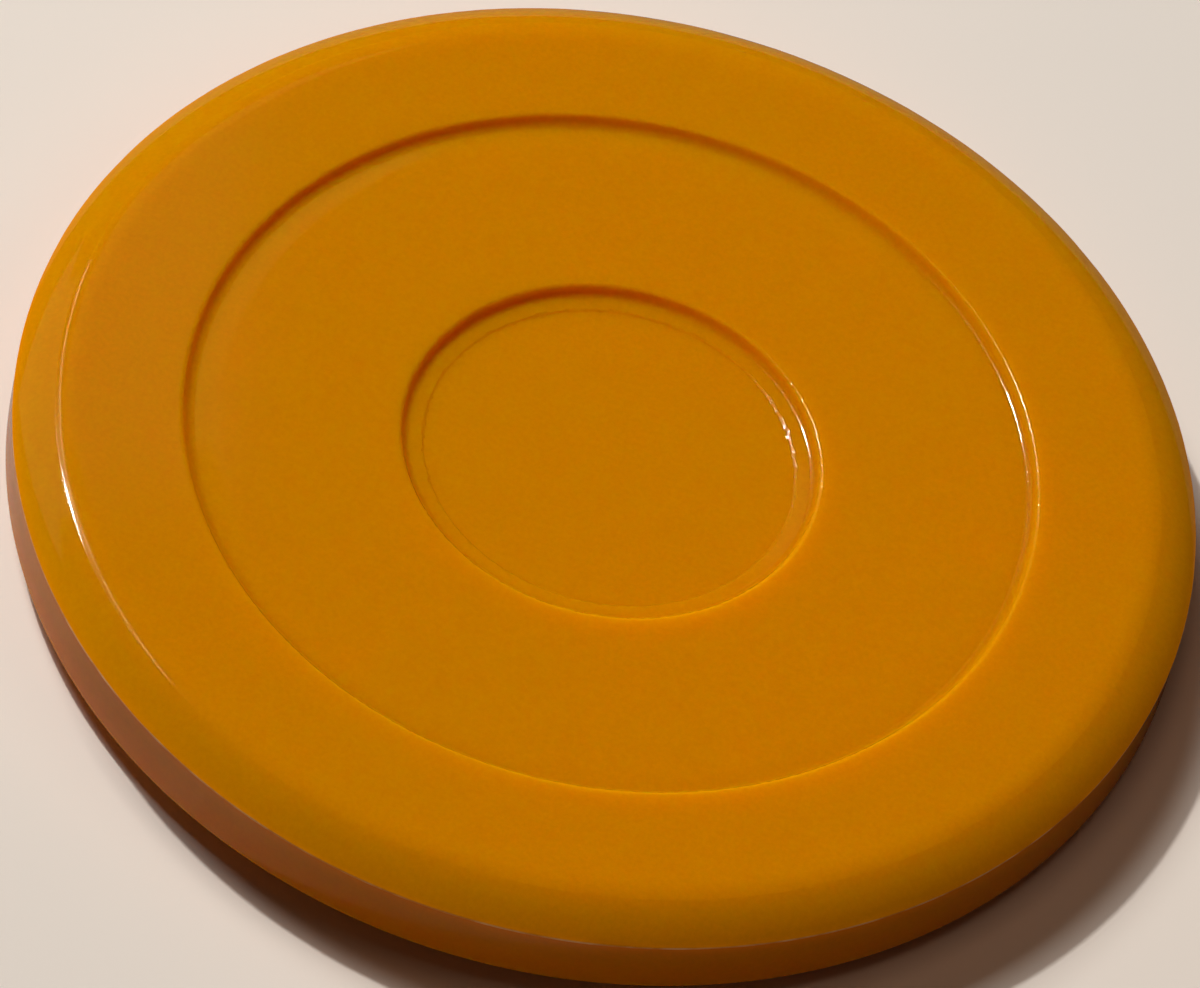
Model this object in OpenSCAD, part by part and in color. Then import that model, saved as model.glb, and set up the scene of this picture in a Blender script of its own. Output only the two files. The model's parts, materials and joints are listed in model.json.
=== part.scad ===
// Air-hockey puck, moulded in two halves that close on a fine seam at the top of the rim.
// Both faces carry the same stepped rings, so the puck plays either way up.
// The origin is the centre of the lower resting face, with +Z up through the puck.

/* [Puck] */
// Outside diameter of the rim
puck_d = 63.5; // [50:0.5:82.5]
// Height from the lower resting face to the upper one
puck_h = 6.15; // [5.8:0.05:8]
// Plate thickness of both shells
plate_t = 1.2; // [0.9:0.05:1.3]

/* [Faces] */
// Radius of the middle field, as a share of the rim's radius
middle_share = 0.722; // [0.64:0.002:0.76]
// Radius of the central recess, as a share of the rim's radius
recess_share = 0.355; // [0.3:0.005:0.4]
// Depth of the middle field below the resting face
middle_depth = 0.46; // [0.3:0.02:0.5]
// Depth of the central recess below the middle field
recess_depth = 0.54; // [0.3:0.02:0.6]

/* [Rim] */
// Width of the rounded shoulder between a resting face and the rim
shoulder_w = 2.55; // [2.4:0.05:2.7]
// Height of the shoulder
shoulder_h = 1.4; // [1.35:0.05:1.5]
// Height of the upper shell's upright edge, which shows as the fine seam line
seam_edge_h = 0.06; // [0.05:0.01:0.2]
// How far that edge stands proud of the rim
seam_proud = 0.02; // [0:0.01:0.05]

/* [Inside] */
// Wall thickness of the lower shell's rim
wall_t = 1.65; // [1.5:0.05:1.8]
// Thickness of that wall's outer lip, which stands outside the upper shell's tongue
lip_t = 0.5; // [0.4:0.05:0.6]
// Number of locating pins, and of the sockets that take them
pin_count = 6; // [3:1:8]
// Diameter of a locating pin
pin_d = 2.2; // [1.8:0.1:2.4]

/* [Hidden] */
shell_colour = [0.78, 0.45, 0.02];

round_steps = 6;      // straight pieces in a rounded corner
turn_steps = 180;     // $fn of a ring
post_steps = 48;      // $fn of a pin or a socket
fit_gap = 0.05;       // radial clearance where the shells locate in each other
overshoot = 1;        // how far a cutter runs past what it cuts

rim_r = puck_d / 2;
flat_r = rim_r - shoulder_w;              // outer edge of a resting face
middle_r = rim_r * middle_share;
recess_r = rim_r * recess_share;
ramp_w = 1.3;                             // from the recess's edge in to the pad
pad_r = recess_r - ramp_w;                // the flat pad on the recess's floor

middle_draft = 0.36;                      // how far a step leans over its height
recess_draft = 0.28;
ramp_drop = 0.08;                         // fall of the ramp from the recess's step to the pad
pad_drop = 0.06;                          // fine step round the pad
pad_draft = 0.08;
sink_w = 1.3;                             // the middle field sinks a little on its way to its step
sink_drop = 0.08;

ramp_top = middle_depth + recess_depth;   // depths below the resting face
ramp_foot = ramp_top + ramp_drop;
pad_depth = ramp_foot + pad_drop;

brow_slope = 22;                          // the shoulder starts at this angle from level
skirt_slope = 40;                         // and meets the rim at this one
brow_w = (shoulder_w * tan(skirt_slope) - shoulder_h) / (tan(skirt_slope) - tan(brow_slope));
brow_h = brow_w * tan(brow_slope);

foot_round = 0.3;                         // corner radii
step_round = 0.25;
pad_round = 0.12;
sink_round = 12;
brow_round = 3;
skirt_round = 5;
seam_round = 0.02;
rim_round = 0.1;
tongue_round = 0.1;
inside_round = 0.3;

seam_z = puck_h - shoulder_h - seam_edge_h;
wall_r = rim_r - wall_t;                  // inner side of the rim's wall
lip_r = rim_r - lip_t;                    // inner side of its lip
tongue_r = lip_r - fit_gap;               // outer side of the upper shell's tongue
tongue_h = 1.0;
tongue_gap = 0.1;                         // under the tongue

// Inner corners of a plate stand off its outer ones, so that the plate keeps its thickness.
corner_share = 0.6;
plate_shift = plate_t * corner_share;
post_z = plate_t + middle_depth;          // inner side of the lower middle field
roof_z = puck_h - post_z;                 // inner side of the upper middle field

prop_r = (middle_r + recess_r) / 2;       // ring that props the two middle fields apart
prop_t = 1.2;
socket_offset = 3.4;
socket_ring_r = prop_r + socket_offset;   // pins and sockets stand on this circle
socket_wall = 1.1;
socket_gap = 0.5;                         // from a socket's rim to the upper shell
socket_floor = 0.3;
pin_gap = 0.3;                            // from a pin's end to its socket's floor
rib_t = 0.9;
rib_gap = 0.3;                            // from a rib to the upper shell and the rim's wall
root = plate_t / 2;                       // how deep a post's or a rib's root goes into its plate

// Points along an outline corner p between a and b, rounded to radius r.
function unit(v) = v / norm(v);
function turned(u, v) = sign(v.x * u.y - v.y * u.x);
function corner(a, p, b, r) =
    let (
        u = unit(a - p),
        v = unit(b - p),
        half = acos(u * v) / 2,
        middle = p + unit(u + v) * r / sin(half),
        start = p + u * r / tan(half) - middle,
        start_angle = atan2(start.y, start.x),
        sweep = (180 - 2 * half) * turned(u, v)
    )
    [for (i = [0:round_steps])
        let (angle = start_angle + sweep * i / round_steps)
        middle + r * [cos(angle), sin(angle)]];

// A closed outline from [radius, height, corner radius] entries.
function flat_point(q) = [q.x, q.y];
function rounded(path) =
    let (n = len(path))
    [for (i = [0:n - 1])
        each path[i].z == 0
            ? [flat_point(path[i])]
            : corner(flat_point(path[(i + n - 1) % n]), flat_point(path[i]),
                     flat_point(path[(i + 1) % n]), path[i].z)];

// One face from the axis out to the shoulder's end, as [radius, depth, corner radius].
face = [
    [0, pad_depth, 0],
    [pad_r, pad_depth, pad_round],
    [pad_r + pad_draft, ramp_foot, pad_round],
    [recess_r - recess_draft, ramp_top, foot_round],
    [recess_r, middle_depth, step_round],
    [middle_r - middle_draft - sink_w, middle_depth, sink_round],
    [middle_r - middle_draft, middle_depth + sink_drop, foot_round],
    [middle_r, 0, step_round],
    [flat_r, 0, brow_round],
    [flat_r + brow_w, brow_h, skirt_round]
];

// The inner side of a face, from the inner wall at radius r back to the axis.
function inside(r) = [
    [r, plate_t, inside_round],
    [middle_r + plate_shift, plate_t, inside_round],
    [middle_r + plate_shift - middle_draft, post_z, inside_round],
    [recess_r + plate_shift, post_z, inside_round],
    [recess_r + plate_shift - recess_draft, pad_depth + plate_t, inside_round],
    [0, pad_depth + plate_t, 0]
];

function from_below(path) = path;
function from_above(path) = [for (q = path) [q.x, puck_h - q.y, q.z]];

module revolved(path) {
    rotate_extrude($fn = turn_steps) polygon(rounded(path));
}

// Repeats its children once for each pin, turned by a share of the step between two pins.
module round_the_ring(turn = 0) {
    for (i = [0:pin_count - 1]) rotate((i + turn) * 360 / pin_count) children();
}

module ring(inner, outer, from_z, to_z) {
    translate([0, 0, from_z]) difference() {
        cylinder(r = outer, h = to_z - from_z, $fn = turn_steps);
        translate([0, 0, -overshoot])
            cylinder(r = inner, h = to_z - from_z + 2 * overshoot, $fn = turn_steps);
    }
}

// Upper shell: the lid, with the seam's upright edge, a tongue that locates in the rim, and the pins.
module upper_shell() {
    pin_foot = post_z - socket_floor + pin_gap;
    color(shell_colour) union() {
        revolved(concat(
            from_above(face),
            [
                [rim_r + seam_proud, seam_z + seam_edge_h, seam_round],
                [rim_r + seam_proud, seam_z, 0],
                [tongue_r, seam_z, 0],
                [tongue_r, seam_z - tongue_h, tongue_round],
                [wall_r, seam_z - tongue_h, tongue_round]
            ],
            from_above(inside(wall_r))
        ));
        round_the_ring() translate([socket_ring_r, 0, pin_foot])
            cylinder(d = pin_d, h = roof_z + root - pin_foot, $fn = post_steps);
    }
}

// Lower shell: the tray, with the whole upright rim and its lip, a prop ring, the sockets and short ribs.
module lower_shell() {
    root_z = post_z - root;
    socket_top = roof_z - socket_gap;
    rib_end = wall_r - rib_gap;
    lip_foot = seam_z - tongue_h - tongue_gap;
    color(shell_colour) difference() {
        union() {
            revolved(concat(
                from_below(face),
                [
                    [rim_r, shoulder_h, rim_round],
                    [rim_r, seam_z, 0],
                    [lip_r, seam_z, 0],
                    [lip_r, lip_foot, 0],
                    [wall_r, lip_foot, 0]
                ],
                from_below(inside(wall_r))
            ));
            ring(prop_r - prop_t / 2, prop_r + prop_t / 2, root_z, roof_z);
            round_the_ring() translate([socket_ring_r, 0, root_z])
                cylinder(d = pin_d + 2 * (fit_gap + socket_wall), h = socket_top - root_z,
                         $fn = post_steps);
            round_the_ring(turn = 0.5) translate([prop_r, -rib_t / 2, root_z])
                cube([rib_end - prop_r, rib_t, roof_z - rib_gap - root_z]);
        }
        round_the_ring() translate([socket_ring_r, 0, post_z - socket_floor])
            cylinder(d = pin_d + 2 * fit_gap, h = puck_h, $fn = post_steps);
    }
}

upper_shell();
lower_shell();
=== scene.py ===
"""Air-hockey puck: two glossy moulded shells on a pale floor.

Both shells are turned as dense closed meshes that follow the CAD sizes, with finer corners, a fine
flash along the seam and slightly ragged edges on the steps. Lengths are in millimetres until a mesh
is made, and then in metres, in the CAD frame. The stage (floor, lamps, camera) is in metres.
"""

import json
import math

import bmesh
import bpy
from mathutils import Matrix, Vector, noise

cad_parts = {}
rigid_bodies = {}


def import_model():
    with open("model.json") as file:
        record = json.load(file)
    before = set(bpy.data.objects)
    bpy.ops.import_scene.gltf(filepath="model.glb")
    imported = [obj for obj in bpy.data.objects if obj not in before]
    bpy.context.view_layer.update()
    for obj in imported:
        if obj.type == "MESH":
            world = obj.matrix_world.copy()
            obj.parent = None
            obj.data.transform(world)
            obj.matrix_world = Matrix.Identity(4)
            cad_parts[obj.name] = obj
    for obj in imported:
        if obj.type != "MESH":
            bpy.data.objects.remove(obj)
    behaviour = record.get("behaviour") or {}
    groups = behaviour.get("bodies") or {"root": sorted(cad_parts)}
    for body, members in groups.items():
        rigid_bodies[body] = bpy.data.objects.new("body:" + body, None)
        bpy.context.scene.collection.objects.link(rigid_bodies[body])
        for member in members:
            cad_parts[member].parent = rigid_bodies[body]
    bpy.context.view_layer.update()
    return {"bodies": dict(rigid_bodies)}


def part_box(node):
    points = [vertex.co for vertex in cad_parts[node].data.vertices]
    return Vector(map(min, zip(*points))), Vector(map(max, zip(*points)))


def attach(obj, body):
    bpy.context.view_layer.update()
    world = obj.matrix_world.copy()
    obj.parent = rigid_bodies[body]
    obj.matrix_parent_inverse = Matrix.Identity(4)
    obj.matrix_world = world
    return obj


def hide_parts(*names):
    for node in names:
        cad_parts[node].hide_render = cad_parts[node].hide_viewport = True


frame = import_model()

MM = 0.001
BODY = next(iter(frame["bodies"]))

# ---------------------------------------------------------------- sizes, in millimetres
lower_high = Vector(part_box("lower_shell")[1]) / MM
upper_low, upper_high = (Vector(corner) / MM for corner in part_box("upper_shell"))

RIM_R = lower_high.x
PUCK_H = upper_high.z
SEAM_Z = lower_high.z                        # where the two shells meet
SEAM_PROUD = upper_high.x - lower_high.x     # how far the upper shell's edge stands out
PIN_FOOT = upper_low.z

SHOULDER_H = 1.4
SEAM_EDGE_H = PUCK_H - SHOULDER_H - SEAM_Z
MIDDLE_R = RIM_R * 0.722
RECESS_R = RIM_R * 0.355
MIDDLE_DEPTH = 0.46
RECESS_DEPTH = 0.54
MIDDLE_DRAFT = 0.36
RECESS_DRAFT = 0.28
RAMP_W = 1.3
RAMP_DROP = 0.08
PAD_DROP = 0.06
PAD_DRAFT = 0.08
PAD_R = RECESS_R - RAMP_W
RAMP_TOP = MIDDLE_DEPTH + RECESS_DEPTH
RAMP_FOOT = RAMP_TOP + RAMP_DROP
PAD_DEPTH = RAMP_FOOT + PAD_DROP

# The shoulder eases out of the resting face, bends at the brow and again at the skirt.
EASE_SLOPE = math.radians(15)
BROW_SLOPE = math.radians(22.5)
SKIRT_SLOPE = math.radians(40)
EASE_W = 2.7                                 # how far in from the rim it starts to ease
BROW_W = 2.12                                # and how far in the brow is
EASE_R = RIM_R - EASE_W
BROW_R = RIM_R - BROW_W
EASE_H = (BROW_R - EASE_R) * math.tan(EASE_SLOPE)
BROW_FALL = SHOULDER_H - EASE_H
SKIRT_R = BROW_R + (
    (BROW_W * math.tan(SKIRT_SLOPE) - BROW_FALL) / (math.tan(SKIRT_SLOPE) - math.tan(BROW_SLOPE))
)
SKIRT_H = EASE_H + (SKIRT_R - BROW_R) * math.tan(BROW_SLOPE)

# The middle field sinks a little on its way out to the step.
SINK_W = 1.3
SINK_DROP = 0.08

PLATE_T = 1.2
CORNER_SHARE = 0.6                           # inner corners stand off the outer ones by this share of it
PLATE_SHIFT = PLATE_T * CORNER_SHARE
POST_Z = PLATE_T + MIDDLE_DEPTH
ROOF_Z = PUCK_H - POST_Z
WALL_T = 1.65
FIT_GAP = 0.05
WALL_R = RIM_R - WALL_T
LIP_T = 0.5                                  # the lower shell's lip stands outside the upper one's tongue
LIP_R = RIM_R - LIP_T
TONGUE_H = 1.0
TONGUE_GAP = 0.1
LIP_FOOT = SEAM_Z - TONGUE_H - TONGUE_GAP

PIN_COUNT = 6
PIN_R = 1.1
PROP_R = (MIDDLE_R + RECESS_R) / 2
PROP_T = 1.2
SOCKET_OFFSET = 3.4
SOCKET_RING_R = PROP_R + SOCKET_OFFSET
SOCKET_WALL = 1.1
SOCKET_GAP = 0.5
SOCKET_FLOOR = 0.3
RIB_T = 0.9
RIB_GAP = 0.3
ROOT = PLATE_T / 2

# ---------------------------------------------------------------- outlines
SHARP_R = 0.3                                # corners down to this radius are nicked the most
WIDE_R = 1                                   # corners from this radius up have more points
TIGHT_STEPS = 6
WIDE_STEPS = 14
HIDDEN_STEPS = 2


def rounded(path, hidden_from=None):
    """The points of an outline through [radius, height, corner radius] entries, as one list per entry.

    A point is radius, height and wear, which rises along an arc, to 1 where it is sharp. Arcs have fewer
    points from the entry hidden_from onwards.
    """
    corners = []
    for i, (x, y, radius) in enumerate(path):
        here = Vector((x, y))
        if radius == 0:
            corners.append([here.to_3d()])
            continue
        before = (Vector(path[i - 1][:2]) - here).normalized()
        after = (Vector(path[(i + 1) % len(path)][:2]) - here).normalized()
        half = before.angle(after) / 2
        centre = here + (before + after).normalized() * radius / math.sin(half)
        start = here + before * radius / math.tan(half) - centre
        sweep = (math.pi - 2 * half) * (1 if before.cross(after) < 0 else -1)
        sharp = min(1, SHARP_R / radius)
        steps = TIGHT_STEPS if radius < WIDE_R else WIDE_STEPS
        if hidden_from is not None and i >= hidden_from:
            steps, sharp = HIDDEN_STEPS, 0
        turns = [centre + Matrix.Rotation(sweep * step / steps, 2) @ start for step in range(steps + 1)]
        wear = [sharp * (1 - (2 * step / steps - 1) ** 4) for step in range(steps + 1)]
        corners.append([Vector((p.x, p.y, worn)) for p, worn in zip(turns, wear)])
    return corners


def filled(points, longest, margin):
    """Adds points along the long straight runs, and one close to each end of them."""
    out = []
    for here, after in zip(points, points[1:]):
        out.append(here)
        run = (after.xy - here.xy).length
        if run > 4 * margin:
            count = max(1, math.ceil((run - 2 * margin) / longest))
            inner = [margin + (run - 2 * margin) * i / count for i in range(count + 1)]
            out.extend(here.xy.lerp(after.xy, d / run).to_3d() for d in inner)
    return out + [points[-1]]


def face():
    """One face of the puck, from the axis out, as [radius, depth, corner radius]."""
    return [
        [0, PAD_DEPTH, 0],
        [PAD_R, PAD_DEPTH, 0.12],
        [PAD_R + PAD_DRAFT, RAMP_FOOT, 0.12],
        [RECESS_R - RECESS_DRAFT, RAMP_TOP, 0.5],
        [RECESS_R, MIDDLE_DEPTH, 0.25],
        [MIDDLE_R - MIDDLE_DRAFT - SINK_W, MIDDLE_DEPTH, 12],
        [MIDDLE_R - MIDDLE_DRAFT, MIDDLE_DEPTH + SINK_DROP, 0.6],
        [MIDDLE_R, 0, 0.25],
        [EASE_R, 0, 4],
        [BROW_R, EASE_H, 0.8],
        [SKIRT_R, SKIRT_H, 5],
    ]


def inside(start_r, props=()):
    """The inner side of a face, from the inner wall back to the axis; props go in at the middle field."""
    return [
        [start_r, PLATE_T, 0.3],
        [MIDDLE_R + PLATE_SHIFT, PLATE_T, 0.3],
        [MIDDLE_R + PLATE_SHIFT - MIDDLE_DRAFT, POST_Z, 0.3],
        *props,
        [RECESS_R + PLATE_SHIFT, POST_Z, 0.3],
        [RECESS_R + PLATE_SHIFT - RECESS_DRAFT, PAD_DEPTH + PLATE_T, 0.3],
        [0, PAD_DEPTH + PLATE_T, 0],
    ]


def from_above(path):
    return [[x, PUCK_H - y, radius] for x, y, radius in path]


SHOWN_RUN, SHOWN_MARGIN = 1.8, 0.06          # how finely straight runs are divided where they show
HIDDEN_RUN, HIDDEN_MARGIN = 4, 0.4           # and inside


def outline(shown, hidden):
    """The whole outline of a shell: finely divided where it shows, and coarsely inside."""
    corners = rounded(shown + hidden, len(shown))
    fine = sum(corners[: len(shown)], [])
    coarse = sum(corners[len(shown):], [])
    visible = filled(fine, SHOWN_RUN, SHOWN_MARGIN)
    return visible[:-1] + filled(fine[-1:] + coarse, HIDDEN_RUN, HIDDEN_MARGIN)


UPPER = outline(
    from_above(face())
    + [
        [RIM_R + SEAM_PROUD, SEAM_Z + SEAM_EDGE_H, 0.03],
        [RIM_R + SEAM_PROUD, SEAM_Z, 0],
    ],
    [
        [LIP_R - FIT_GAP, SEAM_Z, 0],
        [LIP_R - FIT_GAP, SEAM_Z - TONGUE_H, 0.1],
        [WALL_R, SEAM_Z - TONGUE_H, 0.1],
    ]
    + from_above(inside(WALL_R)),
)
PROP_RING = [
    [PROP_R + PROP_T / 2, POST_Z, 0.1],
    [PROP_R + PROP_T / 2, ROOF_Z, 0.1],
    [PROP_R - PROP_T / 2, ROOF_Z, 0.1],
    [PROP_R - PROP_T / 2, POST_Z, 0.1],
]
LOWER = outline(
    face() + [[RIM_R, SHOULDER_H, 0.1], [RIM_R, SEAM_Z, 0]],
    [[LIP_R, SEAM_Z, 0], [LIP_R, LIP_FOOT, 0], [WALL_R, LIP_FOOT, 0]] + inside(WALL_R, PROP_RING),
)

# ---------------------------------------------------------------- meshes
SEGMENTS = 540
POST_SEGMENTS = 48
CHAMFER = 0.15                               # on the ends of the posts and the edges of the ribs
RAGGED = 0.06                                # how far a worn corner wanders, at most
RAGGED_SCALE = 4.0                           # wanderings in a millimetre
FLASH_WAVES = 12                             # the flash swells and thins about this often round the seam
FLASH_TEETH = 90                             # and has finer teeth, half as deep
FLASH_SHARE = 0.3                            # its usual width, as a share of the CAD edge's


def plain(radius, angle, height, worn):
    return radius * math.cos(angle), radius * math.sin(angle), height


def lathe(name, points, shape=plain, segments=SEGMENTS):
    """A closed mesh turned from an outline whose two ends lie on the axis; shape places each point."""
    mesh = bpy.data.meshes.new(name)
    build = bmesh.new()
    wear = build.verts.layers.float.new("edge_wear")
    seam = build.verts.layers.float.new("seam_distance")
    rings = []
    for radius, height, worn in points:
        if radius < 1e-6:
            rings.append([build.verts.new((0, 0, height * MM))])
            continue
        ring = []
        for i in range(segments):
            angle = 2 * math.pi * i / segments
            x, y, z = shape(radius, angle, height, worn)
            ring.append(build.verts.new((x * MM, y * MM, z * MM)))
            ring[-1][wear] = worn
            ring[-1][seam] = math.hypot(radius - RIM_R, height - SEAM_Z)
        rings.append(ring)
    for near, far in zip(rings, rings[1:]):
        for i in range(segments):
            j = (i + 1) % segments
            corners = [near[i % len(near)], far[i % len(far)], far[j % len(far)], near[j % len(near)]]
            build.faces.new(list(dict.fromkeys(corners)))
    bmesh.ops.recalc_face_normals(build, faces=build.faces)
    build.to_mesh(mesh)
    build.free()
    mesh.shade_smooth()
    piece = bpy.data.objects.new(name, mesh)
    bpy.context.scene.collection.objects.link(piece)
    return piece


def settled(radius, angle, height, worn):
    """A point of a shell, with a moulding's slight unevenness on its corners and its seam's flash."""
    x, y = math.cos(angle), math.sin(angle)
    if worn and radius < SKIRT_R:
        radius += RAGGED * worn * noise.noise(Vector((radius * x, radius * y, height)) * RAGGED_SCALE)
    if radius > RIM_R + SEAM_PROUD / 4:
        swell = noise.noise(Vector((x, y, 0)) * FLASH_WAVES)
        teeth = noise.noise(Vector((x, y, 3)) * FLASH_TEETH) / 2
        radius -= SEAM_PROUD * min(1, max(0, FLASH_SHARE + (swell + teeth)))
    return radius * x, radius * y, height


def post(name, radius, low, high):
    """A round post with a fine chamfer at its upper and lower ends."""
    path = [[0, low], [radius - CHAMFER, low], [radius, low + CHAMFER]]
    path += [[radius, high - CHAMFER], [radius - CHAMFER, high], [0, high]]
    return lathe(name, [(x, z, 0) for x, z in path], segments=POST_SEGMENTS)


def rib(name, start, end, low, high):
    """A straight rib along X, with its long upper edges rounded."""
    half = RIB_T / 2
    path = [[half, low, 0], [half, high, CHAMFER], [-half, high, CHAMFER], [-half, low, 0]]
    section = sum(rounded(path, hidden_from=0), [])
    mesh = bpy.data.meshes.new(name)
    build = bmesh.new()
    ends = [[build.verts.new((x * MM, p.x * MM, p.y * MM)) for p in section] for x in (start, end)]
    build.faces.new(ends[0])
    build.faces.new(ends[1][::-1])
    for i, near in enumerate(ends[0]):
        j = (i + 1) % len(section)
        build.faces.new((near, ends[1][i], ends[1][j], ends[0][j]))
    bmesh.ops.recalc_face_normals(build, faces=build.faces)
    build.to_mesh(mesh)
    build.free()
    piece = bpy.data.objects.new(name, mesh)
    bpy.context.scene.collection.objects.link(piece)
    return piece


def join_round(shell, tool, operation, offset=0.0, turn=0.0):
    """Adds the tool to the shell, or cuts it away, once for each pin round the ring."""
    build = bmesh.new()
    for i in range(PIN_COUNT):
        spin = Matrix.Rotation(2 * math.pi * (i + turn) / PIN_COUNT, 4, "Z")
        copy = tool.data.copy()
        copy.transform(spin @ Matrix.Translation((offset * MM, 0, 0)))
        build.from_mesh(copy)
        bpy.data.meshes.remove(copy)
    build.to_mesh(tool.data)
    build.free()
    step = shell.modifiers.new("posts", "BOOLEAN")
    step.operation = operation
    step.solver = "MANIFOLD"
    step.object = tool
    made = bpy.data.meshes.new_from_object(shell.evaluated_get(bpy.context.evaluated_depsgraph_get()))
    shell.modifiers.clear()
    shell.data = made
    bpy.data.objects.remove(tool)


upper = lathe("upper_shell_body", UPPER, settled)
join_round(upper, post("pin", PIN_R, PIN_FOOT, ROOF_Z + ROOT), "UNION", SOCKET_RING_R)

lower = lathe("lower_shell_body", LOWER, settled)
SOCKET_R = PIN_R + FIT_GAP + SOCKET_WALL
join_round(lower, post("socket", SOCKET_R, POST_Z - ROOT, ROOF_Z - SOCKET_GAP), "UNION", SOCKET_RING_R)
RIB_END = WALL_R - RIB_GAP
join_round(lower, rib("rib", PROP_R, RIB_END, POST_Z - ROOT, ROOF_Z - RIB_GAP), "UNION", turn=0.5)
hole = post("hole", PIN_R + FIT_GAP, POST_Z - SOCKET_FLOOR, PUCK_H)
join_round(lower, hole, "DIFFERENCE", SOCKET_RING_R)

# ---------------------------------------------------------------- material
def noise_at(tree, coordinates, scale, detail, roughness=0.5):
    texture = tree.nodes.new("ShaderNodeTexNoise")
    texture.inputs["Scale"].default_value = scale
    texture.inputs["Detail"].default_value = detail
    texture.inputs["Roughness"].default_value = roughness
    tree.links.new(coordinates, texture.inputs["Vector"])
    return texture.outputs["Fac"]


def calculated(tree, operation, first, second):
    node = tree.nodes.new("ShaderNodeMath")
    node.operation = operation
    for socket, value in zip(node.inputs, (first, second)):
        if isinstance(value, (int, float)):
            socket.default_value = value
        else:
            tree.links.new(value, socket)
    return node.outputs["Value"]


def remapped(tree, value, low, high, to_low, to_high):
    node = tree.nodes.new("ShaderNodeMapRange")
    tree.links.new(value, node.inputs["Value"])
    for name, number in (("From Min", low), ("From Max", high), ("To Min", to_low), ("To Max", to_high)):
        node.inputs[name].default_value = number
    return node.outputs["Result"]


def mixed(tree, factor, first, second):
    node = tree.nodes.new("ShaderNodeMix")
    node.data_type = "RGBA"
    tree.links.new(factor, node.inputs["Factor"])
    for name, value in (("A", first), ("B", second)):
        socket = next(i for i in node.inputs if i.name == name and i.type == "RGBA")
        if isinstance(value, tuple):
            socket.default_value = value
        else:
            tree.links.new(value, socket)
    return next(o for o in node.outputs if o.type == "RGBA")


def bumped(tree, height, distance, normal=None):
    node = tree.nodes.new("ShaderNodeBump")
    node.inputs["Strength"].default_value = 1
    node.inputs["Distance"].default_value = distance
    tree.links.new(height, node.inputs["Height"])
    if normal:
        tree.links.new(normal, node.inputs["Normal"])
    return node.outputs["Normal"]


def shell_material(name, green):
    """Glossy translucent orange plastic, with streaks, fine grain, nicks on the corners, and a painted
    highlight along the seam.
    """
    material = bpy.data.materials.new(name)
    material.use_nodes = True
    tree = material.node_tree
    shader = tree.nodes["Principled BSDF"]
    place = tree.nodes.new("ShaderNodeTexCoord").outputs["Object"]
    wear = tree.nodes.new("ShaderNodeAttribute")
    wear.attribute_name = "edge_wear"

    clouds = remapped(tree, noise_at(tree, place, 90, 3), 0.35, 0.65, 0, 1)
    grain = remapped(tree, noise_at(tree, place, 3600, 3, 0.7), 0.3, 0.7, 0, 1)
    base = mixed(tree, clouds, (0.80, green * 1.03, 0, 1), (0.86, green, 0, 1))
    base = mixed(tree, calculated(tree, "MULTIPLY", grain, 0.5), base, (0.73, green * 0.86, 0, 1))
    from_seam = tree.nodes.new("ShaderNodeAttribute")
    from_seam.attribute_name = "seam_distance"
    # Painted highlight: pale patches of base colour along the seam's flash stand in for the light its
    # edge catches.
    painted_flash_highlight = remapped(tree, from_seam.outputs["Fac"], 0.03, 0.09, 1, 0)
    patchy = remapped(tree, noise_at(tree, place, 500, 3), 0.4, 0.6, 0.2, 1)
    painted_flash_highlight = calculated(tree, "MULTIPLY", painted_flash_highlight, patchy)
    tree.links.new(mixed(tree, painted_flash_highlight, base, (0.95, 0.6, 0.3, 1)), shader.inputs["Base Color"])

    smears = noise_at(tree, place, 260, 4, 0.65)
    rough = remapped(tree, smears, 0.35, 0.7, 0.055, 0.095)
    worn = calculated(tree, "MULTIPLY", wear.outputs["Fac"], 0.06)
    tree.links.new(calculated(tree, "ADD", rough, worn), shader.inputs["Roughness"])

    patches = remapped(tree, noise_at(tree, place, 300, 1), 0.4, 0.6, 0.2, 1)
    nicks = calculated(tree, "SUBTRACT", noise_at(tree, place, 3200, 2, 0.6), 0.5)
    nicks = calculated(tree, "MULTIPLY", nicks, wear.outputs["Fac"])
    nicks = calculated(tree, "MULTIPLY", nicks, patches)
    peel = bumped(tree, noise_at(tree, place, 900, 2), 0.000002)
    tree.links.new(bumped(tree, nicks, 0.00004, peel), shader.inputs["Normal"])

    shader.inputs["IOR"].default_value = 1.5
    # The light that crosses the seam inside the plastic is lost, so the scattering fades out beside it.
    scatter = remapped(tree, from_seam.outputs["Fac"], 0.1, 1.3, 0, 1)
    tree.links.new(scatter, shader.inputs["Subsurface Weight"])
    shader.inputs["Subsurface Radius"].default_value = (1.0, 0.6, 0.25)
    shader.inputs["Subsurface Scale"].default_value = 0.004
    return material


# The lower shell's base colour has less green: painted shade, standing in for the deep red of its shaded
# wall.
for piece, node, green in ((upper, "upper_shell", 0.315), (lower, "lower_shell", 0.23)):
    piece.data.materials.clear()
    piece.data.materials.append(shell_material(node + "_plastic", green))
    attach(piece, BODY)
    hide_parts(node)

# ---------------------------------------------------------------- floor
def towards(azimuth, elevation):
    """The direction at these angles: azimuth is turned from +X to +Y, elevation up from level."""
    a, e = math.radians(azimuth), math.radians(elevation)
    return Vector((math.cos(a) * math.cos(e), math.sin(a) * math.cos(e), math.sin(e)))


FLOOR_HALF = 1.5
BESIDE = towards(206, 0) * 0.036             # a spot on the floor close to the puck's left


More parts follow.
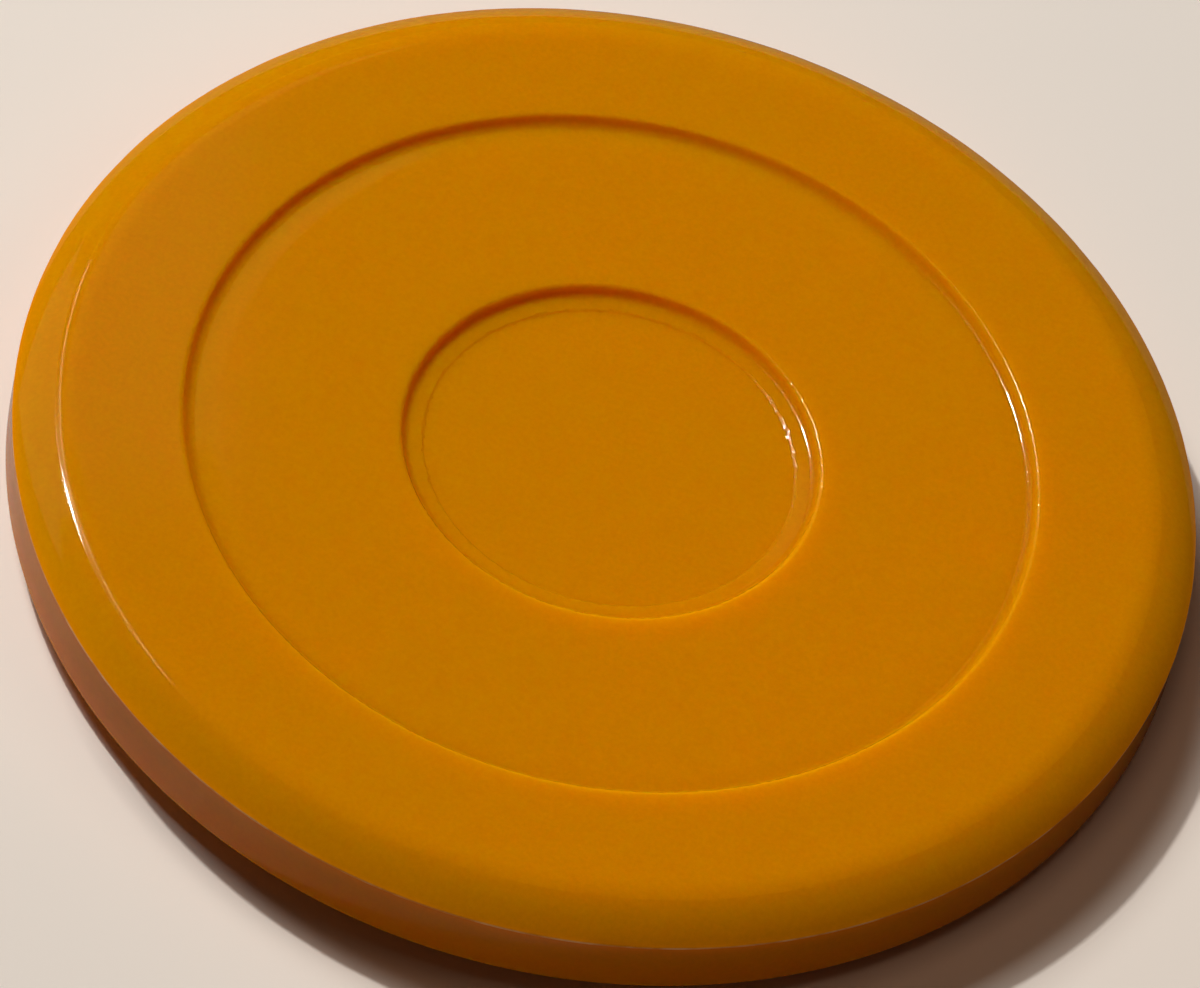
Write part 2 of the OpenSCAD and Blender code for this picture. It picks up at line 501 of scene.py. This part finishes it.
def make_floor():
    mesh = bpy.data.meshes.new("floor")
    corners = [(x * FLOOR_HALF, y * FLOOR_HALF, 0) for x, y in ((-1, -1), (1, -1), (1, 1), (-1, 1))]
    mesh.from_pydata(corners, [], [(0, 1, 2, 3)])
    material = bpy.data.materials.new("floor")
    material.use_nodes = True
    tree = material.node_tree
    shader = tree.nodes["Principled BSDF"]
    place = tree.nodes.new("ShaderNodeTexCoord").outputs["Object"]
    blotches = noise_at(tree, place, 14, 3)
    base = mixed(tree, blotches, (0.66, 0.635, 0.61, 1), (0.62, 0.595, 0.57, 1))
    seen = mixed(tree, blotches, (0.92, 0.89, 0.86, 1), (0.86, 0.83, 0.80, 1))
    # The camera sees a paler floor than lights the puck. In gloss only the floor on its left is bright.
    rays = tree.nodes.new("ShaderNodeLightPath")
    beside = tree.nodes.new("ShaderNodeVectorMath")
    beside.operation = "DISTANCE"
    beside.inputs[1].default_value = BESIDE
    tree.links.new(place, beside.inputs[0])
    dim = remapped(tree, beside.outputs["Value"], 0.018, 0.03, 0.35, 1)
    dimmed = calculated(tree, "MULTIPLY", dim, rays.outputs["Is Glossy Ray"])
    base = mixed(tree, dimmed, base, (0.24, 0.22, 0.205, 1))
    tree.links.new(mixed(tree, rays.outputs["Is Camera Ray"], base, seen), shader.inputs["Base Color"])
    shader.inputs["Roughness"].default_value = 0.6
    shader.inputs["Specular IOR Level"].default_value = 0
    mesh.materials.append(material)
    floor = bpy.data.objects.new("floor", mesh)
    bpy.context.scene.collection.objects.link(floor)


make_floor()

# ---------------------------------------------------------------- light
CENTRE = Vector((0, 0, PUCK_H * MM))


def area_light(name, azimuth, elevation, distance, size, power, colour, turn=0, in_reflections=True):
    lamp = bpy.data.lights.new(name, "AREA")
    lamp.shape = "RECTANGLE"
    lamp.size, lamp.size_y = size
    lamp.energy = power
    lamp.color = colour
    holder = bpy.data.objects.new(name, lamp)
    direction = towards(azimuth, elevation)
    holder.location = CENTRE + direction * distance
    aim = direction.to_track_quat("Z", "Y").to_matrix() @ Matrix.Rotation(math.radians(turn), 3, "Z")
    holder.rotation_euler = aim.to_euler()
    holder.visible_glossy = in_reflections
    bpy.context.scene.collection.objects.link(holder)
    return holder


def strip_light(name, start, end, distance, width, power, colour):
    """A thin straight lamp between two directions, each an azimuth and an elevation."""
    first, last = towards(*start), towards(*end)
    middle = (first + last).normalized()
    size = ((last - first).length * distance, width)
    azimuth = math.degrees(math.atan2(middle.y, middle.x))
    elevation = math.degrees(math.asin(middle.z))
    holder = area_light(name, azimuth, elevation, distance, size, power, colour)
    along = (last - first).normalized()
    across = middle.cross(along)
    holder.rotation_euler = Matrix((along, across, middle)).transposed().to_euler()


area_light("key_lamp", 141, 50, 0.6, (0.02, 0.02), 1.9, (1, 0.96, 0.9))
area_light("soft_key", 136, 49, 1.6, (0.6, 0.6), 12.0, (1, 0.96, 0.9), in_reflections=False)
area_light("top_fill", 320, 65, 0.07, (0.04, 0.04), 0.0065, (1, 0.66, 0.45), in_reflections=False)
area_light("low_fill", 232, 3, 1.0, (0.3, 0.1), 0.62, (1, 0.85, 0.5), in_reflections=False)
area_light("window", 148, 30, 0.7, (0.3, 0.38), 0.08, (1, 0.9, 0.85), turn=-25)
area_light("card", 107, 45, 0.7, (0.17, 0.17), 0.012, (1, 0.85, 0.8))
strip_light("strip", (123, 36), (147, 65), 0.7, 0.01, 0.08, (1, 0.9, 0.7))

world = bpy.data.worlds.new("studio")
bpy.context.scene.world = world
world.use_nodes = True
world.node_tree.nodes["Background"].inputs["Color"].default_value = (1, 0.55, 0.35, 1)
world.node_tree.nodes["Background"].inputs["Strength"].default_value = 0.016

# ---------------------------------------------------------------- camera
DISTANCE = 15.29 * RIM_R * MM
ELEVATION = math.radians(50.06)
PITCH = math.radians(0.327)
ROLL = math.radians(-14.19)
LENS = 275.2

camera = bpy.data.objects.new("camera", bpy.data.cameras.new("camera"))
bpy.context.scene.collection.objects.link(camera)
back = Vector((0, -math.cos(ELEVATION), math.sin(ELEVATION)))
right = Vector((1, 0, 0))
up = back.cross(right)
look = Matrix((right, up, back))
lean = Matrix.Rotation(ROLL, 3, "Z") @ Matrix.Rotation(PITCH, 3, "X")
camera.matrix_world = Matrix.Translation(CENTRE + back * DISTANCE) @ (lean @ look).transposed().to_4x4()
camera.data.lens = LENS
camera.data.clip_start = DISTANCE / 10
bpy.context.scene.camera = camera
bpy.context.scene.view_settings.view_transform = "Standard"
bpy.context.scene.view_settings.gamma = 0.88
